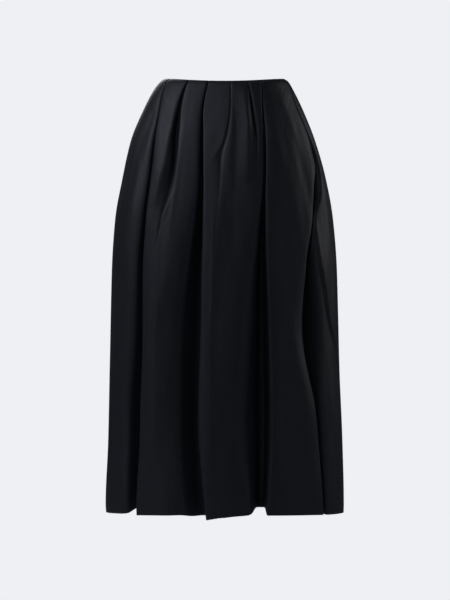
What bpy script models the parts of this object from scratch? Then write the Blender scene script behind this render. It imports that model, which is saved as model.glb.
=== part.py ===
"""Maxi skirt of black satin, hollow and filled out as when it is worn.

Three panels of cloth are joined at the sides and down the centre back. The pleats are stitched flat at the
waist and open downwards into folds that are uneven in depth, width and length. Metres, +Z up, front towards -Y.
The origin is the middle of the waist, at the height of its two side corners.
"""
from collections import namedtuple
import math

import bmesh
import bpy
from mathutils import Matrix, Vector
import numpy as np

MM = 0.001

# Cloth and cut
SKIRT_LENGTH = 0.908
CLOTH_WALL = 1.2 * MM
SEAM_GAP = 0.3 * MM
WAIST_DIP = 10.0 * MM
HEM_RISE = 7.0 * MM
SIDE_SEAM = 90.0
BACK_SEAM = 180.0

# The outline without its folds: drop below the waist, half width to each side, half depth to front and back
OUTLINE_COLUMNS = ("drop", "left", "right", "front", "back")
OUTLINE = (
    (0.000, 0.1270, 0.1260, 0.0950, 0.0960),
    (0.004, 0.1335, 0.1325, 0.0985, 0.0990),
    (0.022, 0.1480, 0.1435, 0.1050, 0.1060),
    (0.064, 0.1700, 0.1640, 0.1180, 0.1210),
    (0.127, 0.1960, 0.1890, 0.1370, 0.1450),
    (0.210, 0.2145, 0.2125, 0.1560, 0.1700),
    (0.295, 0.2295, 0.2275, 0.1700, 0.1860),
    (0.400, 0.2365, 0.2355, 0.1800, 0.1950),
    (0.590, 0.2405, 0.2400, 0.1900, 0.2020),
    (0.757, 0.2440, 0.2470, 0.1960, 0.2070),
    (0.890, 0.2495, 0.2500, 0.2000, 0.2100),
    (0.908, 0.2485, 0.2495, 0.2000, 0.2100),
)

# A fold runs from waist to hem. At each station it has
#   line     bearing of its middle, in degrees from the front, positive towards +X
#   gap      width of its mouth, in millimetres
#   depth    how far its floor lies inside the outline, in millimetres
#   tuck     how far the floor is pushed under the edge of higher bearing, in millimetres
#   soft_a   rounding of the edge of lower bearing, in millimetres
#   soft_b   rounding of the edge of higher bearing, in millimetres
# and lift says how far the hem rises before it, at its first edge, floor and second edge, and after it, in
# millimetres.
STATIONS = (0.000, 0.060, 0.110, 0.165, 0.230, 0.300, 0.390, 0.530, 0.700, 0.908)
Fold = namedtuple("Fold", "name line gap depth tuck soft_a soft_b lift")

FRONT_FOLDS = (
    Fold("side left",
         line=(-64.0, -54.2, -49.4, -47.7, -47.2, -47.6, -48.8, -49.2, -51.6, -50.6),
         gap=(5.0, 6.5, 8.0, 12.5, 14.0, 16.0, 19.0, 28.0, 40.0, 26.0),
         depth=(3.5, 12.0, 18.0, 23.0, 28.0, 31.0, 36.0, 46.0, 56.0, 56.0),
         tuck=(3.0, 3.0, 2.0, 1.0, -1.0, -2.0, -3.0, -5.0, -9.0, -5.0),
         soft_a=(3.0, 6.0, 9.0, 12.0, 15.0, 17.0, 19.0, 20.0, 20.0, 10.0),
         soft_b=(2.0, 3.0, 4.0, 5.0, 6.0, 7.0, 9.0, 12.0, 12.0, 8.0),
         lift=(2.5, 4.0, 15.0, 0.0, 0.0)),
    Fold("front left",
         line=(-35.2, -33.8, -31.4, -31.4, -32.5, -35.2, -38.0, -39.5, -39.5, -39.5),
         gap=(4.5, 12.0, 21.0, 17.5, 20.0, 9.0, 5.5, 5.5, 5.5, 5.5),
         depth=(3.0, 10.0, 15.0, 14.0, 8.0, 2.0, 0.0, 0.0, 0.0, 0.0),
         tuck=(1.0, -3.0, -6.0, -3.0, -1.0, 0.0, 0.0, 0.0, 0.0, 0.0),
         soft_a=(3.0, 3.0, 3.0, 4.0, 6.0, 5.0, 4.0, 2.5, 2.5, 2.5),
         soft_b=(2.0, 3.0, 4.0, 6.0, 8.0, 6.0, 4.0, 2.5, 2.5, 2.5),
         lift=(0.0, 0.0, 0.0, 0.0, 0.0)),
    Fold("centre left",
         line=(-15.2, -15.9, -14.6, -13.8, -13.4, -13.9, -15.4, -18.0, -18.5, -14.8),
         gap=(5.0, 6.0, 9.5, 12.0, 14.0, 19.0, 27.0, 40.0, 36.0, 51.0),
         depth=(4.5, 12.0, 18.0, 24.0, 31.0, 39.0, 47.0, 56.0, 58.0, 50.0),
         tuck=(4.0, 4.0, 5.0, 6.0, 6.0, 7.0, 9.0, 14.0, 12.0, 14.0),
         soft_a=(3.0, 8.0, 12.0, 18.0, 24.0, 28.0, 34.0, 42.0, 42.0, 26.0),
         soft_b=(2.0, 3.0, 4.0, 5.0, 8.0, 14.0, 18.0, 18.0, 20.0, 4.0),
         lift=(0.0, 0.0, -3.0, -9.5, -8.5)),
    Fold("front middle",
         line=(5.6, 4.4, 1.9, -2.0, -2.8, -3.6, -4.0, -4.4, -4.4, -4.4),
         gap=(4.5, 5.0, 7.0, 12.0, 8.0, 6.0, 6.0, 6.0, 6.0, 6.0),
         depth=(0.3, 2.2, 3.6, 3.6, 1.0, 0.0, 0.0, 0.0, 0.0, 0.0),
         tuck=(0.0, 0.0, 0.0, 0.0, 0.0, 0.0, 0.0, 0.0, 0.0, 0.0),
         soft_a=(2.0, 3.0, 5.0, 8.0, 8.0, 5.0, 4.0, 4.0, 4.0, 4.0),
         soft_b=(2.5, 2.5, 3.0, 4.0, 5.0, 5.0, 4.0, 4.0, 4.0, 4.0),
         lift=(-7.8, -7.2, -6.6, -6.0, -5.4)),
    Fold("front right",
         line=(21.9, 20.7, 20.3, 15.0, 11.0, 7.0, 4.5, 3.5, 3.0, 2.5),
         gap=(4.5, 6.5, 6.0, 5.0, 5.0, 5.0, 5.0, 5.0, 5.0, 5.0),
         depth=(0.4, 8.0, 4.5, 0.0, 0.0, 0.0, 0.0, 0.0, 0.0, 0.0),
         tuck=(0.0, -1.0, -1.0, 0.0, 0.0, 0.0, 0.0, 0.0, 0.0, 0.0),
         soft_a=(2.0, 2.5, 3.0, 4.0, 4.0, 4.0, 4.0, 4.0, 4.0, 4.0),
         soft_b=(3.0, 4.0, 3.0, 3.0, 3.0, 3.0, 3.0, 3.0, 3.0, 3.0),
         lift=(-4.6, -4.2, -3.8, -3.4, -3.0)),
    Fold("centre right",
         line=(35.5, 29.4, 26.8, 24.6, 22.2, 20.1, 18.5, 17.9, 16.5, 16.3),
         gap=(6.5, 6.0, 7.5, 7.5, 8.0, 14.0, 23.0, 34.0, 45.0, 33.0),
         depth=(0.4, 11.0, 16.0, 20.0, 25.0, 31.0, 38.0, 48.0, 54.0, 46.0),
         tuck=(0.0, 2.0, 4.0, 6.0, 7.0, 8.0, 10.0, 16.0, 22.0, 16.0),
         soft_a=(3.0, 5.0, 7.0, 9.0, 10.0, 12.0, 16.0, 24.0, 26.0, 6.0),
         soft_b=(4.0, 11.0, 7.0, 4.0, 4.0, 8.0, 11.0, 10.0, 10.0, 5.0),
         lift=(0.5, 3.0, 14.0, 0.0, 0.0)),
    Fold("side right",
         line=(79.5, 68.4, 70.0, 69.8, 61.8, 54.0, 49.3, 49.8, 54.2, 56.3),
         gap=(6.0, 6.0, 6.0, 14.0, 20.0, 8.0, 22.0, 48.0, 17.0, 12.0),
         depth=(0.6, 2.5, 5.0, 14.0, 22.0, 22.0, 28.0, 44.0, 32.0, 26.0),
         tuck=(0.0, 0.0, -1.0, -2.0, -4.0, -2.0, 0.0, 8.0, 2.0, 0.0),
         soft_a=(3.0, 3.0, 3.0, 3.0, 3.0, 5.0, 12.0, 22.0, 16.0, 6.0),
         soft_b=(3.0, 4.0, 6.0, 12.0, 20.0, 10.0, 16.0, 26.0, 26.0, 16.0),
         lift=(0.0, 0.0, 2.0, 0.0, 0.0)),
)

BACK_RIGHT_FOLDS = (
    Fold("back side right",
         line=(105.0, 107.0, 108.5, 109.7, 110.0, 110.0, 109.8, 109.0, 108.0, 109.0),
         gap=(5.0, 7.0, 7.7, 8.9, 10.9, 13.2, 17.6, 26.0, 34.0, 30.0),
         depth=(4.5, 10.0, 13.6, 17.5, 22.1, 26.7, 32.2, 40.0, 48.0, 44.0),
         tuck=(5.0, 5.0, 5.0, 5.0, 5.1, 5.8, 7.2, 10.0, 12.0, 8.0),
         soft_a=(3.0, 5.0, 7.7, 11.5, 15.7, 19.1, 23.4, 28.0, 28.0, 10.0),
         soft_b=(2.0, 3.0, 3.0, 3.4, 4.3, 4.8, 5.8, 7.0, 7.0, 5.0),
         lift=(1.0, 2.0, 8.0, 0.0, 0.0)),
    Fold("back right",
         line=(131.0, 130.0, 129.6, 129.7, 130.4, 131.4, 131.8, 132.0, 132.0, 132.0),
         gap=(5.0, 7.0, 11.8, 13.7, 13.6, 11.4, 10.1, 9.0, 9.0, 9.0),
         depth=(3.0, 11.0, 13.7, 13.4, 10.2, 4.9, 2.0, 0.0, 0.0, 0.0),
         tuck=(3.0, 4.0, 4.0, 3.2, 1.3, 0.1, 0.0, 0.0, 0.0, 0.0),
         soft_a=(3.0, 5.0, 6.4, 8.0, 9.8, 11.7, 12.9, 14.0, 14.0, 14.0),
         soft_b=(2.0, 3.0, 3.7, 4.4, 5.8, 8.4, 11.2, 14.0, 14.0, 14.0),
         lift=(0.0, 0.0, 0.0, 0.0, 0.0)),
    Fold("back centre right",
         line=(155.0, 155.0, 155.3, 155.8, 156.0, 156.0, 155.7, 154.5, 153.5, 153.0),
         gap=(5.0, 6.0, 7.3, 9.8, 13.7, 17.7, 25.2, 38.0, 46.0, 42.0),
         depth=(4.5, 12.0, 16.4, 20.9, 27.0, 34.3, 41.6, 50.0, 54.0, 48.0),
         tuck=(5.0, 5.0, 5.0, 5.3, 6.6, 8.5, 10.8, 14.0, 16.0, 12.0),
         soft_a=(3.0, 7.0, 11.1, 17.6, 24.4, 28.9, 34.3, 40.0, 38.0, 22.0),
         soft_b=(2.0, 3.0, 3.0, 3.4, 4.6, 5.9, 6.0, 6.0, 5.0, 4.0),
         lift=(0.0, 0.0, 3.0, -5.0, -4.5)),
)

BACK_LEFT_FOLDS = (
    Fold("back centre left",
         line=(-156.0, -155.0, -154.6, -154.3, -153.8, -153.2, -152.2, -150.5, -149.0, -149.0),
         gap=(5.0, 6.0, 7.3, 9.4, 12.2, 15.0, 20.9, 32.0, 40.0, 34.0),
         depth=(4.5, 11.0, 14.6, 19.0, 24.1, 28.7, 35.2, 44.0, 48.0, 42.0),
         tuck=(-5.0, -5.0, -5.0, -5.0, -5.2, -6.6, -8.5, -11.0, -12.0, -8.0),
         soft_a=(2.0, 3.0, 3.0, 3.4, 4.3, 4.9, 5.4, 6.0, 5.0, 4.0),
         soft_b=(3.0, 6.0, 9.4, 14.5, 20.3, 25.0, 29.6, 34.0, 34.0, 20.0),
         lift=(-3.5, -4.0, 6.0, 0.0, 0.0)),
    Fold("back left",
         line=(-131.0, -129.5, -128.4, -127.4, -126.7, -126.1, -125.6, -125.0, -125.0, -126.0),
         gap=(5.0, 7.0, 9.1, 11.8, 13.4, 14.0, 14.0, 14.0, 14.0, 12.0),
         depth=(4.5, 10.0, 13.8, 16.8, 18.7, 19.9, 19.1, 15.0, 9.0, 5.0),
         tuck=(-5.0, -4.0, -4.0, -3.6, -2.7, -2.2, -1.2, 0.0, 0.0, 0.0),
         soft_a=(2.0, 3.0, 3.7, 4.5, 5.5, 6.6, 8.7, 12.0, 14.0, 14.0),
         soft_b=(3.0, 5.0, 7.1, 9.5, 12.3, 15.4, 17.9, 20.0, 20.0, 16.0),
         lift=(0.0, 0.0, 2.0, 0.0, 0.0)),
    Fold("back side left",
         line=(-105.0, -105.0, -105.3, -105.8, -105.9, -105.2, -104.6, -104.0, -103.0, -104.0),
         gap=(5.0, 7.0, 7.7, 9.0, 10.6, 11.7, 13.3, 16.0, 20.0, 18.0),
         depth=(4.5, 9.0, 12.0, 14.5, 17.5, 21.1, 25.0, 30.0, 34.0, 30.0),
         tuck=(-3.5, -4.0, -4.0, -4.0, -4.0, -4.0, -4.4, -6.0, -8.0, -5.0),
         soft_a=(2.0, 3.0, 3.7, 4.5, 5.3, 5.8, 6.8, 8.0, 8.0, 6.0),
         soft_b=(3.0, 5.0, 7.1, 10.1, 13.2, 15.5, 17.8, 20.0, 20.0, 10.0),
         lift=(0.0, 0.0, 5.0, 1.5, 0.0)),
)

# Rows of the cloth: closer together where the waist curves in
ROW_DROPS = (0.000, 0.006, 0.014, 0.026, 0.042, 0.062, 0.090, 0.125, 0.165, 0.210, 0.260,
             0.320, 0.390, 0.460, 0.530, 0.600, 0.670, 0.740, 0.810, 0.870, 0.908)

# Concealed zip behind the centre back seam. At its top the seam is parted for the slider's neck, by this
# much to each side, and closes again below.
TAPE_WIDTH = 11.0 * MM
TAPE_WALL = 1.0 * MM
TAPE_CLEARANCE = 0.6 * MM
TAPE_ROWS = ROW_DROPS[1:10]
PARTING = 1.6 * MM
PARTING_LENGTH = 0.026

# Slider, in its own frame at the parted seam: x across, y down the cloth, z out of the cloth
SLIDER_DROP = 0.010
SLOPE_ABOVE = 4.0 * MM
SLOPE_BELOW = 16.0 * MM
SLIDER_WIDTH = 7.0 * MM
SLIDER_LENGTH = 9.0 * MM
SLIDER_BACK = -5.0 * MM
SLIDER_FRONT = -2.8 * MM
NECK_WALL = 1.0 * MM
BAIL_CENTRE = (1.0 * MM, 0.9 * MM)
BAIL_RADIUS = 3.0 * MM
BAIL_HOLE_RADIUS = 1.9 * MM
BAIL_STEPS = 12

# Pull tab: it hangs from its cross bar, which turns in the slider's bail
PULL_AXIS_HEIGHT = 1.9 * MM
PULL_WALL = 1.0 * MM
PULL_LENGTH = 22.0 * MM
PULL_TOP_WIDTH = 4.6 * MM
PULL_FOOT_WIDTH = 6.4 * MM
PULL_BAR = 0.55 * MM
PULL_WINDOW_WIDTH = 2.2 * MM
PULL_WINDOW_LENGTH = 4.0 * MM
PULL_CORNER_STEPS = 6

# Share of a fold's mouth that its floor takes to each side, the least that leaves room for two layers, and
# the shares of its rounding by which a rolled edge, a crisp edge and a shoulder drop below the outline
FLOOR_SHARE = 0.12
LEAST_FLOOR = 1.6 * MM
ROLL_DROP = 0.72
EDGE_DROP = 0.35
SHOULDER_DROP = 0.05


def smooth(drop, drops, values):
    """Monotone cubic: Hermite curves through the values. A slope is the harmonic mean of the two chords
    beside it, and is level where they change sign."""
    place = np.asarray(drops, float)
    height = np.asarray(values, float)
    width = np.diff(place)
    chord = np.diff(height) / width
    slope = np.zeros_like(height)
    product = chord[:-1] * chord[1:]
    total = chord[:-1] + chord[1:]
    turning = product <= 0.0
    slope[1:-1] = np.where(turning, 0.0, 2.0 * product / np.where(turning, 1.0, total))
    slope[0] = chord[0]
    slope[-1] = chord[-1]
    index = np.clip(np.searchsorted(place, drop, side="right") - 1, 0, len(width) - 1)
    span = width[index]
    t = (drop - place[index]) / span
    rise = t * t * (3.0 - 2.0 * t)
    start_bend = t * (1.0 - t) ** 2 * span * slope[index]
    end_bend = t * t * (t - 1.0) * span * slope[index + 1]
    return height[index] * (1.0 - rise) + height[index + 1] * rise + start_bend + end_bend


def outline_radii(bearing, drop):
    """Half width and half depth of the ellipse quarter that each bearing, in radians, lies in."""
    sizes = dict(zip(OUTLINE_COLUMNS, zip(*OUTLINE)))
    left, right, front, back = (smooth(drop, sizes["drop"], sizes[side]) for side in OUTLINE_COLUMNS[1:])
    half_width = np.where(np.sin(bearing) > 0.0, right, left)
    half_depth = np.where(np.cos(bearing) > 0.0, front, back)
    return half_width, half_depth


def arc_rate(bearing, drop):
    """Metres along the outline for each radian of bearing."""
    half_width, half_depth = outline_radii(bearing, drop)
    return np.hypot(half_width * np.cos(bearing), half_depth * np.sin(bearing))


def cloth_point(bearing, depth, lift, drop):
    """The outline's point at a bearing, moved in along the outline's normal by depth. In front the waist dips
    and the hem rises with the cosine squared, and a fold lifts the hem with the fourth power of drop."""
    half_width, half_depth = outline_radii(bearing, drop)
    rate = np.hypot(half_width * np.cos(bearing), half_depth * np.sin(bearing))
    normal_x = half_depth * np.sin(bearing) / rate
    normal_y = -half_width * np.cos(bearing) / rate
    share = drop / SKIRT_LENGTH
    facing = np.clip(np.cos(bearing), 0.0, 1.0) ** 2
    x = half_width * np.sin(bearing) - depth * normal_x
    y = -half_depth * np.cos(bearing) - depth * normal_y
    z = -drop - WAIST_DIP * facing * (1.0 - share) + HEM_RISE * facing * share + lift * share ** 4
    return np.stack([x, y, z], axis=-1)


def fold_columns(fold, drop):
    """Eight columns of cloth across a fold: shoulder, edge, wall, two on the floor, wall, edge, shoulder.
    Each is a bearing in radians, a depth and a hem lift."""
    line = np.radians(smooth(drop, STATIONS, fold.line))
    gap, depth, tuck, soft_a, soft_b = (
        MM * smooth(drop, STATIONS, column)
        for column in (fold.gap, fold.depth, fold.tuck, fold.soft_a, fold.soft_b))
    floor = np.maximum(FLOOR_SHARE * gap, LEAST_FLOOR)
    before, lift_a, lift_floor, lift_b, after = (MM * value + 0.0 * drop for value in fold.lift)
    edge_a = -gap / 2
    edge_b = gap / 2
    floor_a = tuck - floor
    floor_b = tuck + floor
    drop_a = soft_a * depth / (depth + soft_a)
    drop_b = soft_b * depth / (depth + soft_b)
    roll = EDGE_DROP + (ROLL_DROP - EDGE_DROP) * np.clip(soft_a / (30.0 * MM), 0.0, 1.0)
    across = (edge_a - soft_a, edge_a, (edge_a + floor_a) / 2, floor_a,
              floor_b, (edge_b + floor_b) / 2, edge_b, edge_b + soft_b)
    depths = (SHOULDER_DROP * drop_a, roll * drop_a, (roll * drop_a + depth) / 2, depth,
              depth, depth / 2, EDGE_DROP * drop_b, SHOULDER_DROP * drop_b)
    lifts = (before, lift_a, lift_floor, lift_floor, lift_floor, lift_floor, lift_b, after)
    rate = arc_rate(line, drop)
    return [(line + offset / rate, deep, lift) for offset, deep, lift in zip(across, depths, lifts)]


def panel_columns(folds, first_edge, last_edge, land_counts, drop):
    """Columns of a whole panel: its first edge, then lands and folds in turn, then its last edge. A land has
    the given number of columns on the outline, evenly between its neighbours."""
    level = np.zeros_like(drop)
    columns = [(first_edge + level, level, level)]
    for fold, count in zip(list(folds) + [None], land_counts):
        following = fold_columns(fold, drop) if fold else [(last_edge + level, level, level)]
        start, end = columns[-1], following[0]
        for step in range(1, count + 1):
            share = step / (count + 1)
            bearing = start[0] + (end[0] - start[0]) * share
            lift = start[2] + (end[2] - start[2]) * share
            columns.append((bearing, level, lift))
        columns.extend(following)
    bearing, depth, lift = (np.stack(values, axis=1) for values in zip(*columns))
    return bearing, depth, lift


def surface_normals(grid):
    """Unit normals of a grid of points, from the cross product of its two directions."""
    along = np.gradient(grid, axis=1)
    down = np.gradient(grid, axis=0)
    normal = np.cross(down, along)
    return normal / np.linalg.norm(normal, axis=2, keepdims=True)


def wall_faces(rows, columns):
    """Faces of a closed wall made of an outer grid, an inner grid and the four edges between them."""
    outer = np.arange(rows * columns).reshape(rows, columns)
    inner = outer + rows * columns
    faces = []

    def add(a, b, c, d):
        faces.append(np.stack([a.ravel(), b.ravel(), c.ravel(), d.ravel()], axis=1))

    add(outer[:-1, :-1], outer[1:, :-1], outer[1:, 1:], outer[:-1, 1:])
    add(inner[:-1, :-1], inner[:-1, 1:], inner[1:, 1:], inner[1:, :-1])
    add(outer[0, :-1], outer[0, 1:], inner[0, 1:], inner[0, :-1])
    add(outer[-1, :-1], inner[-1, :-1], inner[-1, 1:], outer[-1, 1:])
    add(outer[:-1, 0], inner[:-1, 0], inner[1:, 0], outer[1:, 0])
    add(outer[:-1, -1], outer[1:, -1], inner[1:, -1], inner[:-1, -1])
    return np.concatenate(faces)


def make_wall(name, grid, thickness, material):
    """One closed wall of even thickness with the grid as its middle surface."""
    normal = surface_normals(grid)
    points = np.concatenate([grid + normal * thickness / 2, grid - normal * thickness / 2])
    mesh = bpy.data.meshes.new(name)
    mesh.from_pydata(points.reshape(-1, 3).tolist(), [], wall_faces(*grid.shape[:2]).tolist())
    mesh.shade_smooth()
    mesh.materials.append(material)
    made = bpy.data.objects.new(name, mesh)
    bpy.context.collection.objects.link(made)
    return made


def make_material(name, colour, roughness):
    """Principled BSDF with one colour and roughness."""
    material = bpy.data.materials.new(name)
    material.use_nodes = True
    shader = material.node_tree.nodes["Principled BSDF"]
    shader.inputs["Base Color"].default_value = (*colour, 1.0)
    shader.inputs["Roughness"].default_value = roughness
    return material


def half_seam(seam, drop):
    """Half the gap of a seam, as radians of bearing. The centre back seam parts at its top for the zip."""
    parting = PARTING * np.clip(1.0 - drop / PARTING_LENGTH, 0.0, 1.0)
    half_gap = SEAM_GAP / 2 + (parting if abs(seam) == BACK_SEAM else 0.0)
    return half_gap / arc_rate(math.radians(seam) + 0.0 * drop, drop)


def make_panel(name, folds, first_seam, last_seam, land_counts, material):
    """A cloth panel between two seams, given as bearings in degrees."""
    drop = np.array(ROW_DROPS)
    first_edge = math.radians(first_seam) + half_seam(first_seam, drop)
    last_edge = math.radians(last_seam) - half_seam(last_seam, drop)
    bearing, depth, lift = panel_columns(folds, first_edge, last_edge, land_counts, drop)
    grid = cloth_point(bearing, depth, lift, drop[:, None] + 0.0 * bearing)
    return make_wall(name, grid, CLOTH_WALL, material)


def make_tape(name, side, material):
    """One tape of the zip: a strip inside the back panel, from the seam's edge to the tape's width. Side is
    +1 towards +X, where bearings run up to the seam, and -1 where they start from it."""
    drop = np.array(TAPE_ROWS)
    seam = math.radians(BACK_SEAM)
    near = half_seam(BACK_SEAM, drop)
    far = near + TAPE_WIDTH / arc_rate(seam + 0.0 * drop, drop)
    share = np.linspace(0.0, 1.0, 3)
    from_seam = near[:, None] + (far - near)[:, None] * share
    bearing = (seam - from_seam)[:, ::-1] if side > 0 else from_seam - seam
    depth = CLOTH_WALL / 2 + TAPE_CLEARANCE + TAPE_WALL / 2
    grid = cloth_point(bearing, depth, 0.0, drop[:, None] + 0.0 * bearing)
    return make_wall(name, grid, TAPE_WALL, material)


def zip_frame():
    """The slider's own frame: its y axis runs down the centre back as the cloth slopes, and z points out."""
    seam = np.full(2, math.pi)
    span = np.array((SLIDER_DROP - SLOPE_ABOVE, SLIDER_DROP + SLOPE_BELOW))
    upper, lower = cloth_point(seam, 0.0, 0.0, span)
    middle = cloth_point(seam[:1], 0.0, 0.0, np.array((SLIDER_DROP,)))[0]
    down = Vector(lower - upper).normalized()
    across = Vector((1.0, 0.0, 0.0))
    out = across.cross(down)
    frame = Matrix((across, down, out)).transposed().to_4x4()
    frame.translation = Vector(middle)
    return frame


def extruded(name, outline, low, high):
    """A flat outline, anticlockwise, extruded along z from low to high."""
    shape = bmesh.new()
    face = shape.faces.new([shape.verts.new((x, y, low)) for x, y in outline])
    made = bmesh.ops.extrude_face_region(shape, geom=[face])
    risen = [item for item in made["geom"] if isinstance(item, bmesh.types.BMVert)]
    bmesh.ops.translate(shape, verts=risen, vec=(0.0, 0.0, high - low))
    bmesh.ops.recalc_face_normals(shape, faces=shape.faces)
    mesh = bpy.data.meshes.new(name)
    shape.to_mesh(mesh)
    shape.free()
    made = bpy.data.objects.new(name, mesh)
    bpy.context.collection.objects.link(made)
    return made


def combine(target, helper, operation):
    """Exact Boolean of a helper, which stays hidden, into the target."""
    helper.hide_render = True
    helper.display_type = "WIRE"
    step = target.modifiers.new(operation.lower(), "BOOLEAN")
    step.operation = operation
    step.solver = "EXACT"
    step.object = helper


def rectangle(low_x, high_x, low_y, high_y):
    return ((low_x, low_y), (high_x, low_y), (high_x, high_y), (low_x, high_y))


def arc(centre, radius, start, end, steps):
    """Points of an arc from one angle to another, in degrees."""
    angles = np.radians(np.linspace(start, end, steps + 1))
    return [(centre[0] + radius * math.cos(a), centre[1] + radius * math.sin(a)) for a in angles]


def make_slider(frame, material):
    """Slider: a plate inside the tapes, and a thin blade between them that ends in a bail outside."""
    plate = rectangle(-SLIDER_WIDTH / 2, SLIDER_WIDTH / 2, -SLIDER_LENGTH / 2, SLIDER_LENGTH / 2)
    slider = extruded("zip_slider", plate, SLIDER_BACK, SLIDER_FRONT)
    slider.matrix_world = frame
    slider.data.materials.append(material)
    # The blade is drawn flat, then stood up so that it is thin across the slider
    stood = Matrix(((0.0, 0.0, 1.0), (1.0, 0.0, 0.0), (0.0, 1.0, 0.0))).to_4x4()
    foot = (SLIDER_BACK + SLIDER_FRONT) / 2
    outline = [(BAIL_CENTRE[0] - BAIL_RADIUS, foot), (BAIL_CENTRE[0] + BAIL_RADIUS, foot)]
    outline += arc(BAIL_CENTRE, BAIL_RADIUS, 0.0, 180.0, BAIL_STEPS)
    blade = extruded("slider_blade", outline, -NECK_WALL / 2, NECK_WALL / 2)
    blade.matrix_world = frame @ stood
    opening = arc(BAIL_CENTRE, BAIL_HOLE_RADIUS, 0.0, 180.0, BAIL_STEPS)
    hole = extruded("bail_hole", opening, -NECK_WALL, NECK_WALL)
    hole.matrix_world = frame @ stood
    combine(slider, blade, "UNION")
    combine(slider, hole, "DIFFERENCE")
    return slider


def make_pull(frame, material):
    """Pull tab: a flat drop with a window near its top. The bar above the window lies in the bail."""
    axis = frame @ Vector((0.0, BAIL_CENTRE[0], PULL_AXIS_HEIGHT))
    placed = frame.copy()
    placed.translation = axis
    foot_radius = PULL_FOOT_WIDTH / 2
    foot_centre = (0.0, PULL_LENGTH - PULL_BAR - foot_radius)
    outline = [(-PULL_TOP_WIDTH / 2, -PULL_BAR), (PULL_TOP_WIDTH / 2, -PULL_BAR)]
    outline += arc(foot_centre, foot_radius, 0.0, 180.0, 2 * PULL_CORNER_STEPS)
    pull = extruded("zip_pull", outline, -PULL_WALL / 2, PULL_WALL / 2)
    pull.matrix_world = placed
    pull.data.materials.append(material)
    opening = rectangle(-PULL_WINDOW_WIDTH / 2, PULL_WINDOW_WIDTH / 2, PULL_BAR, PULL_BAR + PULL_WINDOW_LENGTH)
    window = extruded("pull_window", opening, -PULL_WALL, PULL_WALL)
    window.matrix_world = placed
    combine(pull, window, "DIFFERENCE")
    return pull


def build():
    for old in list(bpy.data.objects):
        bpy.data.objects.remove(old)
    satin = make_material("black satin", (0.010, 0.011, 0.015), 0.42)
    make_panel("skirt_front", FRONT_FOLDS, -SIDE_SEAM, SIDE_SEAM, (3, 1, 1, 1, 1, 1, 2, 2), satin)
    make_panel("skirt_back_right", BACK_RIGHT_FOLDS, SIDE_SEAM, BACK_SEAM, (1, 1, 1, 2), satin)
    make_panel("skirt_back_left", BACK_LEFT_FOLDS, -BACK_SEAM, -SIDE_SEAM, (2, 1, 1, 1), satin)
    tape = make_material("black zip tape", (0.012, 0.012, 0.014), 0.8)
    make_tape("zip_tape_right", 1, tape)
    make_tape("zip_tape_left", -1, tape)
    enamel = make_material("black enamelled metal", (0.015, 0.015, 0.017), 0.35)
    frame = zip_frame()
    make_slider(frame, enamel)
    make_pull(frame, enamel)


build()
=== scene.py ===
"""Finish of the black satin maxi skirt: its cloth with all its folds and creases, its zip, the studio.

Metres, +Z up, front towards -Y. The origin is the middle of the waist, at the height of its side corners.
Bearings are degrees round the body from the front, positive towards +X. Drops are metres below the waist.
"""
from collections import namedtuple
import math

import bmesh
import bpy
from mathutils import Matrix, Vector
import numpy as np


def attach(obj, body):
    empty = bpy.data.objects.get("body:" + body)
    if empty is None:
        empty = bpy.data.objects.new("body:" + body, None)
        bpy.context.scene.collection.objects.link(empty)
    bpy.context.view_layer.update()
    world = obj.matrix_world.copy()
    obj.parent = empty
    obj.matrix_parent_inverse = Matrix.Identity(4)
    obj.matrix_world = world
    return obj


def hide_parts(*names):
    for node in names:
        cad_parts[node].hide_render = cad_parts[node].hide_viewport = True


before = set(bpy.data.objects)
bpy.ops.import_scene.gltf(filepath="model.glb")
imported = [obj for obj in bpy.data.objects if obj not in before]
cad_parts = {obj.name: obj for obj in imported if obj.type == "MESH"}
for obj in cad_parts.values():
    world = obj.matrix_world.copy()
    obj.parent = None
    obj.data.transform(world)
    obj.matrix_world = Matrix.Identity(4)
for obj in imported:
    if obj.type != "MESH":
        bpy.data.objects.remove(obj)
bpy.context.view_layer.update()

# Front
# One width of black satin from side seam to side seam. Pleats are stitched flat along the waist and fall
# open below it. Most have a crisp edge on one side and roll softly in under it from the other.
MM = 0.001
SKIRT_LENGTH = 0.908
CLOTH = 0.8 * MM
SEAM_GAP = 0.08 * MM
WAIST_DIP = 10.0 * MM
HEM_RISE = 7.0 * MM
SIDE_SEAM = 90.0
BACK_SEAM = 180.0

# The outline without its folds: drop, half width to each side, half depth to front and back
OUTLINE_COLUMNS = ("drop", "left", "right", "front", "back")
OUTLINE = (
    (0.000, 0.1270, 0.1260, 0.0950, 0.0960),
    (0.004, 0.1335, 0.1325, 0.0985, 0.0990),
    (0.022, 0.1480, 0.1435, 0.1050, 0.1060),
    (0.064, 0.1700, 0.1640, 0.1180, 0.1210),
    (0.127, 0.1960, 0.1890, 0.1370, 0.1450),
    (0.210, 0.2145, 0.2125, 0.1560, 0.1700),
    (0.295, 0.2295, 0.2275, 0.1700, 0.1860),
    (0.400, 0.2365, 0.2355, 0.1800, 0.1950),
    (0.590, 0.2405, 0.2400, 0.1900, 0.2020),
    (0.757, 0.2440, 0.2470, 0.1960, 0.2070),
    (0.890, 0.2495, 0.2500, 0.2000, 0.2100),
    (0.908, 0.2485, 0.2495, 0.2000, 0.2100),
)

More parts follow.
